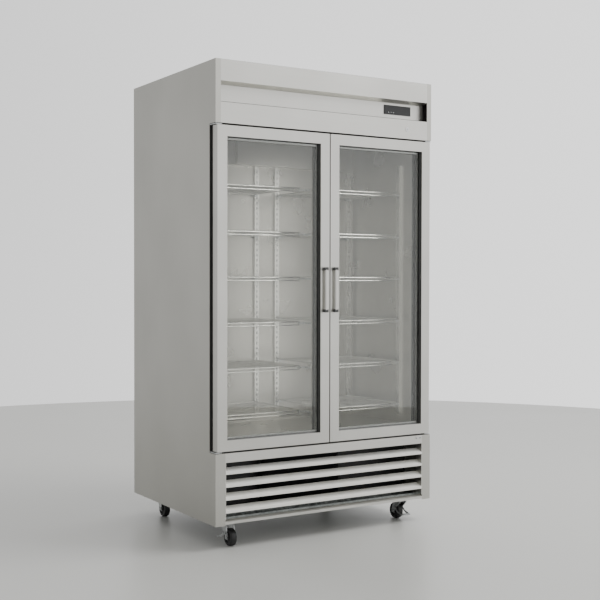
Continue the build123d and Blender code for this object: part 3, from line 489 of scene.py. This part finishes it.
def tube_run(bm, points, radius, sides=10):
    """Round tube through points, with rings turned to each corner's mitre."""
    rings = []
    for i, point in enumerate(points):
        before = Vector(points[max(i - 1, 0)])
        after = Vector(points[min(i + 1, len(points) - 1)])
        along = (after - before).normalized()
        side = along.orthogonal().normalized() if not rings else (last - along * last.dot(along)).normalized()
        last = side
        other = along.cross(side)
        rings.append([bm.verts.new(Vector(point) + (side * cos(a) + other * sin(a)) * radius)
                      for a in (2 * pi * k / sides for k in range(sides))])
    faces = []
    for here, there in zip(rings, rings[1:]):
        for k in range(sides):
            j = (k + 1) % sides
            faces.append(bm.faces.new((here[k], here[j], there[j], there[k])))
    faces.append(bm.faces.new(rings[0][::-1]))
    faces.append(bm.faces.new(rings[-1]))
    bmesh.ops.recalc_face_normals(bm, faces=faces)


def hairpins(bm, x_ends, y, z_rows, radius, reach):
    """Tubes through the fins, joined in pairs by return bends at their ends."""
    for row, z in enumerate(z_rows):
        tube_run(bm, [(x_ends[0], y, z), (x_ends[1], y, z)], radius)
        if row + 1 < len(z_rows):
            end = row % 2
            sign = (-1, 1)[end]
            half = (z_rows[row + 1] - z) / 2
            bend = [(x_ends[end] + sign * reach * sin(a), y, z + half - half * cos(a))
                    for a in (pi * k / 8 for k in range(9))]
            tube_run(bm, bend, radius)


fins = coil_tree()
TUBE_ROWS = 6
for coil_name, ends_margin, count in (("evaporator_coil", 0.018, 180), ("condenser_coil", 0.014, 120)):
    low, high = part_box(coil_name)
    size = (high[0] - low[0] - 2 * ends_margin, high[1] - low[1], high[2] - low[2])
    made = grow(fins, {"Corner": (low[0] + ends_margin, low[1], low[2]), "Size": size,
                       "Thickness": 0.0004, "Fins": count})
    cold_side = coil_name == "evaporator_coil"
    # The condenser's fins and tubes take the black painted-shade finish.
    fin_finish, tube_finish = (FINS, COPPER) if cold_side else (SHADE_BLACK_FINS, SHADE_BLACK_FINS)
    settle(coil_name.replace("coil", "fins"), made, fin_finish, CABINET, [coil_name])
    tubes = bmesh.new()
    pitch = size[2] / TUBE_ROWS
    heights = [low[2] + pitch * (k + 0.5) for k in range(TUBE_ROWS)]
    hairpins(tubes, (low[0] + ends_margin - 0.004, high[0] - ends_margin + 0.004),
             (low[1] + high[1]) / 2, heights, 0.005, 0.012 - 0.004)
    piece(coil_name.replace("coil", "tubes"), tubes, tube_finish, CABINET, smooth=True)


# Screws

def screw_tree(shape):
    """Screw heads on the points of the host mesh, turned to face one way, each cross at its own angle."""
    tree, given = open_tree("screw_heads", (
        ("Geometry", "Geometry"), ("Facing", "Rotation"), ("Spin seed", "Int")))
    head = add(tree, "GeometryNodeObjectInfo", {"Object": shape})
    spin = add(tree, "FunctionNodeRandomValue", {2: 0.0, 3: pi}, {"Seed": given["Spin seed"]},
               data_type="FLOAT").outputs[1]
    turned = add(tree, "FunctionNodeEulerToRotation", links={0: vector(tree, 0.0, 0.0, spin)}).outputs[0]
    both = add(tree, "FunctionNodeRotateRotation", links={"Rotation": given["Facing"], "Rotate By": turned},
               rotation_space="LOCAL").outputs[0]
    placed = add(tree, "GeometryNodeInstanceOnPoints", links={
        "Points": given["Geometry"], "Instance": head.outputs["Geometry"], "Rotation": both})
    close_tree(tree, placed.outputs[0], ZINC)
    return tree


def pan_head(radius, height):
    """Domed head along +Z with a cross recess cut in its top."""
    bm = bmesh.new()
    steps = 24
    rings = []
    for r, h in ((1.0, 0.0), (1.0, 0.35), (0.92, 0.7), (0.7, 0.93), (0.45, 1.0)):
        rings.append([bm.verts.new((radius * r * cos(2 * pi * k / steps), radius * r * sin(2 * pi * k / steps),
                                    height * h)) for k in range(steps)])
    for here, there in zip(rings, rings[1:]):
        for k in range(steps):
            j = (k + 1) % steps
            bm.faces.new((here[k], here[j], there[j], there[k]))
    # Cross recess: the floor lies wide and low along its four arms, narrow and high between them.
    inner = rings[-1]
    centre = bm.verts.new((0, 0, height * 0.35))
    floor = []
    for k in range(steps):
        arm = (k % 6) in (0, 1, 5)
        scale, level = (0.42, 0.42) if arm else (0.14, 0.95)
        angle = 2 * pi * k / steps
        floor.append(bm.verts.new((radius * scale * cos(angle), radius * scale * sin(angle), height * level)))
    for k in range(steps):
        j = (k + 1) % steps
        bm.faces.new((inner[k], inner[j], floor[j], floor[k]))
        bm.faces.new((floor[k], floor[j], centre))
    bm.faces.new(rings[0][::-1])
    mesh = bpy.data.meshes.new("pan_head")
    bm.to_mesh(mesh)
    bm.free()
    return bpy.data.objects.new("pan_head", mesh)


def points_mesh(points):
    mesh = bpy.data.meshes.new("points")
    mesh.from_pydata([tuple(p) for p in points], [], [])
    return mesh


def set_screws(name, points, facing, radius, height, seed, replaces=()):
    """Screw heads standing on these points, facing a direction."""
    shape = pan_head(radius, height)
    tree = screw_tree(shape)
    turn = Vector((0, 0, 1)).rotation_difference(Vector(facing)).to_euler()
    made = grow(tree, {"Facing": turn, "Spin seed": seed}, points_mesh(points))
    settle(name, made, ZINC, CABINET, replaces, smooth=True)
    bpy.data.objects.remove(shape)


face_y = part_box("grille_frame")[0][1]
back_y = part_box("back_panel")[1][1]
SCREW_RADIUS, SCREW_HEIGHT = 0.0045, 0.0024
front_screws = [(x, face_y, 0.401) for x in (0.493, 0.515)]
rear_screws = [(x, back_y, z) for x in (-0.54, 0.0, 0.54) for z in (0.165, 0.9, 1.5, 2.02)]
set_screws("grille_screws", front_screws, (0, -1, 0), SCREW_RADIUS, SCREW_HEIGHT, 3, replaces=["fasteners"])
set_screws("back_panel_screws", rear_screws, (0, 1, 0), SCREW_RADIUS, SCREW_HEIGHT, 7)

cover_low, cover_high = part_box("evaporator_cover")
rivets = [(x, cover_low[1], z) for x in (-0.190, 0.092) for z in (1.718, 1.86, 2.010)]
set_screws("evaporator_cover_screws", rivets, (0, -1, 0), 0.004, 0.002, 11)
duct_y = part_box("rear_duct_panel")[0][1]
duct_screws = [(sign * x, duct_y, z) for sign in (-1, 1) for x in (0.012, 0.250, 0.512)
               for z in (0.515, 1.05, 1.60)]
set_screws("duct_panel_screws", duct_screws, (0, -1, 0), 0.004, 0.002, 5)


# Doors: glazing, lining, gasket and handle

def across_and_up(box):
    """(x range, z range) of a box."""
    return (box[0][0], box[1][0]), (box[0][2], box[1][2])


for side, _ in SIDES:
    body = f"door_{side}"
    glass_x, glass_z = across_and_up(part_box(body + "_glass"))
    glass_low, glass_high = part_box(body + "_glass")
    front_low, front_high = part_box(body + "_frame")
    pane = 0.004
    gap = (glass_low[1] + pane, glass_high[1] - pane)
    # Spacer bar: a hollow box with slightly pulled-in shoulders, and dark sealant behind it.
    bar = bmesh.new()
    frame_sweep(bar, [(0.0035, gap[0] + 0.0002), (0.0105, gap[0] + 0.0002), (0.0112, gap[0] + 0.0014),
                      (0.0112, gap[1] - 0.0014), (0.0105, gap[1] - 0.0002), (0.0035, gap[1] - 0.0002)],
                glass_x, glass_z)
    piece(body + "_spacer_bar", bar, SPACER, body)
    putty = bmesh.new()
    frame_sweep(putty, [(0.0, gap[0] + 0.0002), (0.0035, gap[0] + 0.0002),
                        (0.0035, gap[1] - 0.0002), (0.0, gap[1] - 0.0002)], glass_x, glass_z)
    piece(body + "_sealant", putty, RUBBER, body)
    # Lining round the opening with a glazing lip before and behind the glass, and the back flange.
    back = front_high[1]
    seal_low, seal_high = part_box(body + "_seal")
    lining = bmesh.new()
    lip_front, lip_back = glass_low[1], glass_high[1]
    frame_sweep(lining, [
        (-0.003, front_low[1] + 0.0015), (-0.0002, front_low[1] + 0.0015), (0.0, lip_front - 0.005),
        (0.0025, lip_front - 0.0035), (0.0025, lip_front - 0.0003), (-0.0002, lip_front - 0.0003),
        (-0.0002, lip_back + 0.0003), (0.0025, lip_back + 0.0003), (0.0025, back + 0.0022),
        (0.0018, back + 0.003), (-0.043, back + 0.003), (-0.043, back + 0.0004), (-0.003, back + 0.0004)],
        glass_x, glass_z)
    piece(body + "_lining", lining, LINING, body, [body + "_seal"])
    # Magnetic gasket: dart in the flange, folded bellows, magnet pocket that meets the cabinet's face.
    gasket = bmesh.new()
    edge_x = (front_low[0] + 0.014, front_high[0] - 0.014)
    edge_z = (front_low[2] + 0.014, front_high[2] - 0.014)
    y0, y1 = back + 0.003, seal_high[1]
    frame_sweep(gasket, [
        (0.004, y0), (0.014, y0), (0.0145, y0 + 0.0018), (0.0175, y0 + 0.0035), (0.0180, y0 + 0.0048),
        (0.0150, y0 + 0.0060), (0.0150, y0 + 0.0068), (0.0180, y1 - 0.0050), (0.0180, y1 - 0.0010),
        (0.0170, y1), (0.0012, y1), (0.0, y1 - 0.0010), (0.0, y1 - 0.0050), (0.0030, y0 + 0.0068),
        (0.0030, y0 + 0.0060), (0.0, y0 + 0.0048), (0.0005, y0 + 0.0035), (0.0035, y0 + 0.0018)],
        edge_x, edge_z)
    piece(body + "_gasket", gasket, RUBBER, body, smooth=False)
    # Handle: brushed bar held in two dark moulded end fittings.
    grip_low, grip_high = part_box(body + "_handle")
    middle = (grip_low[0] + grip_high[0]) / 2
    half = (grip_high[0] - grip_low[0]) / 2
    foot, crown, thick = 0.014, 0.0038, 0.005
    steel = bmesh.new()
    arch = [(cos(a), sin(a)) for a in (pi * k / 12 for k in range(13))]
    bar_half = half - 0.0035
    ridge = [(middle + bar_half * u, grip_low[1] + crown - crown * v ** 0.6) for u, v in arch]
    ridge += [(middle - bar_half, grip_low[1] + thick), (middle + bar_half, grip_low[1] + thick)]
    ends = [[steel.verts.new((x, y, z)) for x, y in ridge]
            for z in (grip_low[2] + foot * 0.8, grip_high[2] - foot * 0.8)]
    strip = []
    for i in range(len(ridge)):
        j = (i + 1) % len(ridge)
        strip.append(steel.faces.new((ends[0][i], ends[0][j], ends[1][j], ends[1][i])))
    strip.append(steel.faces.new(ends[0][::-1]))
    strip.append(steel.faces.new(ends[1]))
    bmesh.ops.recalc_face_normals(steel, faces=strip)
    piece(body + "_pull_bar", steel, STEEL_UPRIGHT, body, [body + "_handle"], smooth=True)
    fittings = bmesh.new()
    for z0, z1 in ((grip_low[2], grip_low[2] + foot), (grip_high[2] - foot, grip_high[2])):
        slab(fittings, (grip_low[0], grip_low[1] + 0.0002, z0), (grip_high[0], grip_low[1] + 0.0065, z1), 0.002)
        slab(fittings, (grip_low[0] + 0.002, grip_low[1] + 0.006, z0 + 0.001),
             (grip_high[0] - 0.002, grip_high[1], z1 - 0.001), 0.0018)
    piece(body + "_handle_fittings", fittings, GREY_NYLON, body, weld=False, smooth=True)


# Controller: lit digits, indicator dots and arrows on the keys

def segment_digit(bm, code, x, z, width, height, y, thick):
    """Seven-segment figure; code lists the lit bars a to g."""
    half = height / 2
    spans = {
        "a": ((0, width), (height, height)), "g": ((0, width), (half, half)), "d": ((0, width), (0, 0)),
        "f": ((0, 0), (half, height)), "b": ((width, width), (half, height)),
        "e": ((0, 0), (0, half)), "c": ((width, width), (0, half))}
    pad = thick * 0.6
    for bar_name in code:
        (xa, xb), (za, zb) = spans[bar_name]
        if za == zb:
            low, high = (x + xa + pad, y, z + za - thick / 2), (x + xb - pad, y + 0.0003, z + zb + thick / 2)
        else:
            low, high = (x + xa - thick / 2, y, z + za + pad), (x + xb + thick / 2, y + 0.0003, z + zb - pad)
        slab(bm, low, high)


window_low, window_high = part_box("display_window")
case_low, case_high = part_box("controller_case")
digits = bmesh.new()
window_y = window_low[1] - 0.0003
for number, (code, offset) in enumerate((("abged", 0.030), ("afgcd", 0.046))):
    segment_digit(digits, code, window_low[0] + offset, window_low[2] + 0.005, 0.009, 0.016, window_y, 0.0022)
piece("display_digits", digits, GREEN_LED, CABINET, weld=False)
dots = bmesh.new()
lathe(dots, [(0.0001, 0.0), (0.0022, 0.0), (0.0022, 0.0003), (0.0001, 0.0003)],
      (window_low[0] + 0.014, window_y + 0.0003, window_high[2] - 0.007), (0, -1, 0), 20)
piece("display_alarm_dot", dots, RED_LED, CABINET)
# A fine raised border moulded round the bezel's face.
border = bmesh.new()
edge = case_low[1]
frame_sweep(border, [(0.0004, edge), (0.0004, edge - 0.0006), (0.0020, edge - 0.0006), (0.0026, edge)],
            (case_low[0], case_high[0]), (case_low[2], case_high[2]))
piece("controller_border", border, BLACK_ABS, CABINET)
for key, points in (("up", ((-1, -0.8), (1, -0.8), (0, 0.9))), ("down", ((-1, 0.8), (0, -0.9), (1, 0.8))),
                    ("set", ((-0.9, -0.7), (0.9, -0.7), (0.9, 0.7), (-0.9, 0.7)))):
    low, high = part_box("key_" + key)
    cx, cz, y = (low[0] + high[0]) / 2, (low[2] + high[2]) / 2, low[1]
    mark = bmesh.new()
    scale = 0.0016
    front_face = [mark.verts.new((cx + scale * u, y - 0.0002, cz + scale * v)) for u, v in points]
    rear_face = [mark.verts.new((cx + scale * u, y, cz + scale * v)) for u, v in points]
    faces = [mark.faces.new(front_face), mark.faces.new(rear_face[::-1])]
    for i in range(len(points)):
        j = (i + 1) % len(points)
        faces.append(mark.faces.new((front_face[i], rear_face[i], rear_face[j], front_face[j])))
    bmesh.ops.recalc_face_normals(mark, faces=faces)
    piece(f"key_{key}_mark", mark, DIFFUSER, "key_" + key)


# Fans

def joint(name):
    return next(j for j in frame["joints"] if j["name"] == name)


def rotor(name, body, centre, radius, hub, depth, blades):
    """Moulded fan: domed hub and swept blades whose pitch eases off towards the tip."""
    bm = bmesh.new()
    cx, cy, cz = centre
    lathe(bm, [(0.0001, -depth / 2), (hub * 0.7, -depth / 2), (hub, -depth * 0.3), (hub, depth / 2),
               (0.0001, depth / 2)], centre, (0, 1, 0), 32)
    rows, cols, thick = 10, 8, 0.0016
    for blade in range(blades):
        turn = 2 * pi * blade / blades
        grid = {}
        for r in range(rows + 1):
            share = r / rows
            reach = hub * 0.95 + (radius - hub * 0.95) * share
            chord = (0.75 + 0.35 * sin(pi * share)) * 2 * pi / blades * 0.62
            sweep = 0.30 * share ** 2
            pitch = radians(38 - 16 * share)
            for c in range(cols + 1):
                span = c / cols - 0.5
                angle = turn + sweep + chord * span
                lift = reach * chord * span * sin(pitch) * 0.62 + 0.004 * (1 - 4 * span * span)
                lift = max(-depth * 0.62, min(depth * 0.62, lift))
                for layer, shift in ((0, -thick / 2), (1, thick / 2)):
                    grid[r, c, layer] = bm.verts.new(
                        (cx + reach * cos(angle), cy + lift + shift, cz + reach * sin(angle)))
        faces = []
        for r in range(rows):
            for c in range(cols):
                for layer in (0, 1):
                    faces.append(bm.faces.new([grid[r, c, layer], grid[r + 1, c, layer],
                                               grid[r + 1, c + 1, layer], grid[r, c + 1, layer]]))
        rim = [(r, 0) for r in range(rows)] + [(rows, c) for c in range(cols)]
        rim += [(r, cols) for r in range(rows, 0, -1)] + [(0, c) for c in range(cols, 0, -1)]
        for (r, c), (r2, c2) in zip(rim, rim[1:] + rim[:1]):
            faces.append(bm.faces.new([grid[r, c, 0], grid[r2, c2, 0], grid[r2, c2, 1], grid[r, c, 1]]))
        bmesh.ops.recalc_face_normals(bm, faces=faces)
    piece(name, bm, FAN_NYLON, body, [body], smooth=True)


def guard_tree():
    """Fan guard: rings of wire one inside the other, and spokes behind them."""
    tree, given = open_tree("fan_guard", (
        ("Centre", "Vector"), ("Radius", "Float"), ("Wire", "Float"), ("Rings", "Int"), ("Spokes", "Int")))
    step = maths(tree, "DIVIDE", given["Radius"], given["Rings"])
    circle = add(tree, "GeometryNodeCurvePrimitiveCircle", {"Resolution": 48}, {"Radius": step})
    row = add(tree, "GeometryNodeMeshLine", {"Offset": (0, 0, 0)}, {"Count": given["Rings"]})
    index = add(tree, "GeometryNodeInputIndex").outputs[0]
    grown = maths(tree, "ADD", index, 1.0)
    rings = add(tree, "GeometryNodeInstanceOnPoints", links={
        "Points": row.outputs[0], "Instance": circle.outputs[0], "Scale": vector(tree, grown, grown, 1.0)})
    real = add(tree, "GeometryNodeRealizeInstances", links={"Geometry": rings.outputs[0]}).outputs[0]
    ring_wire = rod_along(tree, real, given["Wire"], 6)
    spoke = line(tree, vector(tree), vector(tree, given["Radius"], 0.0, 0.0))
    spoke_wire = rod_along(tree, spoke, given["Wire"], 6)
    centred = add(tree, "GeometryNodeMeshLine", {"Offset": (0, 0, 0)}, {"Count": given["Spokes"]})
    turn = maths(tree, "MULTIPLY", maths(tree, "DIVIDE", index, given["Spokes"]), 2 * pi)
    spokes = add(tree, "GeometryNodeInstanceOnPoints", links={
        "Points": centred.outputs[0], "Instance": spoke_wire, "Rotation": vector(tree, 0.0, 0.0, turn)})
    behind = add(tree, "GeometryNodeTransform", {"Translation": (0, 0, -0.003)},
                 {"Geometry": spokes.outputs[0]})
    both = joined(tree, [ring_wire, behind.outputs[0]])
    placed = add(tree, "GeometryNodeTransform", {"Rotation": (radians(90), 0, 0)},
                 {"Geometry": both, "Translation": given["Centre"]})
    close_tree(tree, placed.outputs[0], ZINC)
    return tree


guard = guard_tree()
for side, _ in SIDES:
    spin = joint(f"evaporator_fan_{side}_spin")
    centre = tuple(spin["pos_m"])
    rotor(f"evaporator_rotor_{side}", f"evaporator_fan_{side}", centre, 0.084, 0.022, 0.024, 5)
    bay_front = cover_low[1] + 0.026
    made = grow(guard, {"Centre": (centre[0], bay_front - 0.0018, centre[2]), "Radius": 0.094, "Wire": 0.0012,
                        "Rings": 8, "Spokes": 6})
    settle(f"evaporator_fan_guard_{side}", made, ZINC, CABINET, smooth=True)
    motor = bmesh.new()
    lathe(motor, [(0.0001, 0.0), (0.024, 0.0), (0.028, 0.004), (0.028, 0.040), (0.022, 0.046), (0.0001, 0.046)],
          (centre[0], duct_y + 0.004, centre[2]), (0, 1, 0), 32)
    for angle in (0.5, 0.5 + 2 * pi / 3, 0.5 + 4 * pi / 3):
        end = (centre[0] + 0.098 * cos(angle), duct_y + 0.010, centre[2] + 0.098 * sin(angle))
        tube_run(motor, [(centre[0] + 0.02 * cos(angle), duct_y + 0.010, centre[2] + 0.02 * sin(angle)), end], 0.003)
    piece(f"evaporator_fan_motor_{side}", motor, ZINC, CABINET, smooth=True, weld=False)
spin = joint("condenser_fan_spin")
rotor("condenser_rotor", "condenser_fan", tuple(spin["pos_m"]), 0.094, 0.026, 0.030, 5)


# Compressor: seam flange and terminal cover

shell_low, shell_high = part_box("compressor")
centre_x, centre_y = (shell_low[0] + shell_high[0]) / 2, (shell_low[1] + shell_high[1]) / 2
seam_z = 0.232
trim = bmesh.new()
lathe(trim, [(0.0815, -0.004), (0.086, -0.003), (0.086, 0.003), (0.0815, 0.004)], (centre_x, centre_y, seam_z),
      (0, 0, 1), 48)
slab(trim, (centre_x - 0.026, centre_y + 0.078, 0.165), (centre_x + 0.026, centre_y + 0.104, 0.222), 0.004)
piece("compressor_seam_and_terminal_cover", trim, ENAMEL, CABINET, weld=False, smooth=True)


# Casters

for corner in CORNERS:
    body = "caster_wheel_" + corner
    roll = joint("caster_roll_" + corner)
    centre, axle = roll["pos_m"], Vector(roll["axis"]).normalized()
    tyre = bmesh.new()
    arc = [(0.0325 + 0.0055 * sin(a), 0.0078 + 0.0062 * cos(a)) for a in (pi / 2 * k / 6 for k in range(7))]
    outline = [(0.026, 0.0138)] + arc + [(r, -w) for r, w in arc[::-1]] + [(0.026, -0.0138)]
    lathe(tyre, outline, centre, axle, 56)
    piece(f"caster_tyre_{corner}", tyre, TYRE, body, [body], smooth=True)
    core = bmesh.new()
    lathe(core, [(0.00505, -0.016), (0.011, -0.016), (0.012, -0.011), (0.0235, -0.009), (0.0245, -0.0132),
                 (0.0262, -0.0132), (0.0262, 0.0132), (0.0245, 0.0132), (0.0235, 0.009), (0.012, 0.011),
                 (0.011, 0.016), (0.00505, 0.016)], centre, axle, 48)
    piece(f"caster_core_{corner}", core, CORE, body, smooth=True)
    nuts = bmesh.new()
    for end in (-1, 1):
        hub = Vector(centre) + axle * end * 0.0205
        lathe(nuts, [(0.0001, 0.0), (0.0072, 0.0), (0.0072, 0.0028 * end), (0.0060, 0.0034 * end),
                     (0.0001, 0.0034 * end)], hub, axle, 6)
    piece(f"caster_axle_nuts_{corner}", nuts, ZINC, "caster_fork_" + corner)

swivels = [joint("caster_swivel_" + corner)["pos_m"] for corner in CORNERS]
plate_low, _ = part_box("caster_plates")
bolts = [(x + dx, y + dy, 0.102) for x, y, _ in swivels for dx in (-0.038, 0.038) for dy in (-0.026, 0.026)]
set_screws("caster_plate_bolts", bolts, (0, 0, -1), 0.0055, 0.004, 13)
races = bmesh.new()
for x, y, _ in swivels:
    lathe(races, [(0.0262, 0.0), (0.0285, 0.0008), (0.0300, 0.0030), (0.0285, 0.0052), (0.0262, 0.006)],
          (x, y, 0.096), (0, 0, 1), 40)
piece("caster_race_rings", races, ZINC, CABINET, smooth=True)


# Camera, floor and light

CAMERA_AT = Vector((-2.643, -4.4345, 1.152))
AZIMUTH, PITCH, ROLL = radians(31.81), radians(1.1), radians(-0.092)
camera_data = bpy.data.cameras.new("camera")
camera_data.sensor_width = 36
camera_data.lens = 64.15
camera = bpy.data.objects.new("camera", camera_data)
look = Vector((sin(AZIMUTH) * cos(PITCH), cos(AZIMUTH) * cos(PITCH), -sin(PITCH)))
camera.rotation_mode = "QUATERNION"
camera.rotation_quaternion = Quaternion(look, ROLL) @ look.to_track_quat("-Z", "Y")
camera.location = CAMERA_AT
bpy.context.scene.collection.objects.link(camera)
bpy.context.scene.camera = camera

floor_bm = bmesh.new()
bmesh.ops.create_circle(floor_bm, cap_ends=True, radius=5.2, segments=96)
floor_mesh = bpy.data.meshes.new("floor")
floor_bm.to_mesh(floor_mesh)
floor_bm.free()
floor = bpy.data.objects.new("floor", floor_mesh)
floor_mesh.materials.append(mottled("polished_pale_floor", ("B4B4B0", "BABAB6"), 900, (0.34, 0.42)))
bpy.context.scene.collection.objects.link(floor)

world = bpy.data.worlds.new("studio")
world.use_nodes = True
bpy.context.scene.world = world
sky = world.node_tree
sky.nodes.clear()
toward = add(sky, "ShaderNodeTexCoord").outputs["Generated"]
across = add(sky, "ShaderNodeSeparateXYZ", links={0: toward}).outputs
# Even room light that grows brighter towards the right.
rightward = maths(sky, "ADD", maths(sky, "MULTIPLY", across[0], 0.5), 0.5)
tone = ramp(sky, rightward, grey(0.80), grey(1.75), 0.42, 0.92)
background = add(sky, "ShaderNodeBackground", {"Strength": 1.0}, {"Color": tone})
add(sky, "ShaderNodeOutputWorld", links={"Surface": background.outputs[0]})


def soft_light(name, place, aim, size, power):
    """Large rectangular lamp aimed at a point."""
    data = bpy.data.lights.new(name, "AREA")
    data.shape = "RECTANGLE"
    data.size, data.size_y = size
    data.energy = power
    obj = bpy.data.objects.new(name, data)
    obj.location = place
    obj.rotation_mode = "QUATERNION"
    obj.rotation_quaternion = (Vector(aim) - Vector(place)).to_track_quat("-Z", "Y")
    bpy.context.scene.collection.objects.link(obj)


soft_light("key_from_above_right", (3.4, -2.6, 5.6), (0, 0, 1.0), (3.0, 3.0), 260)
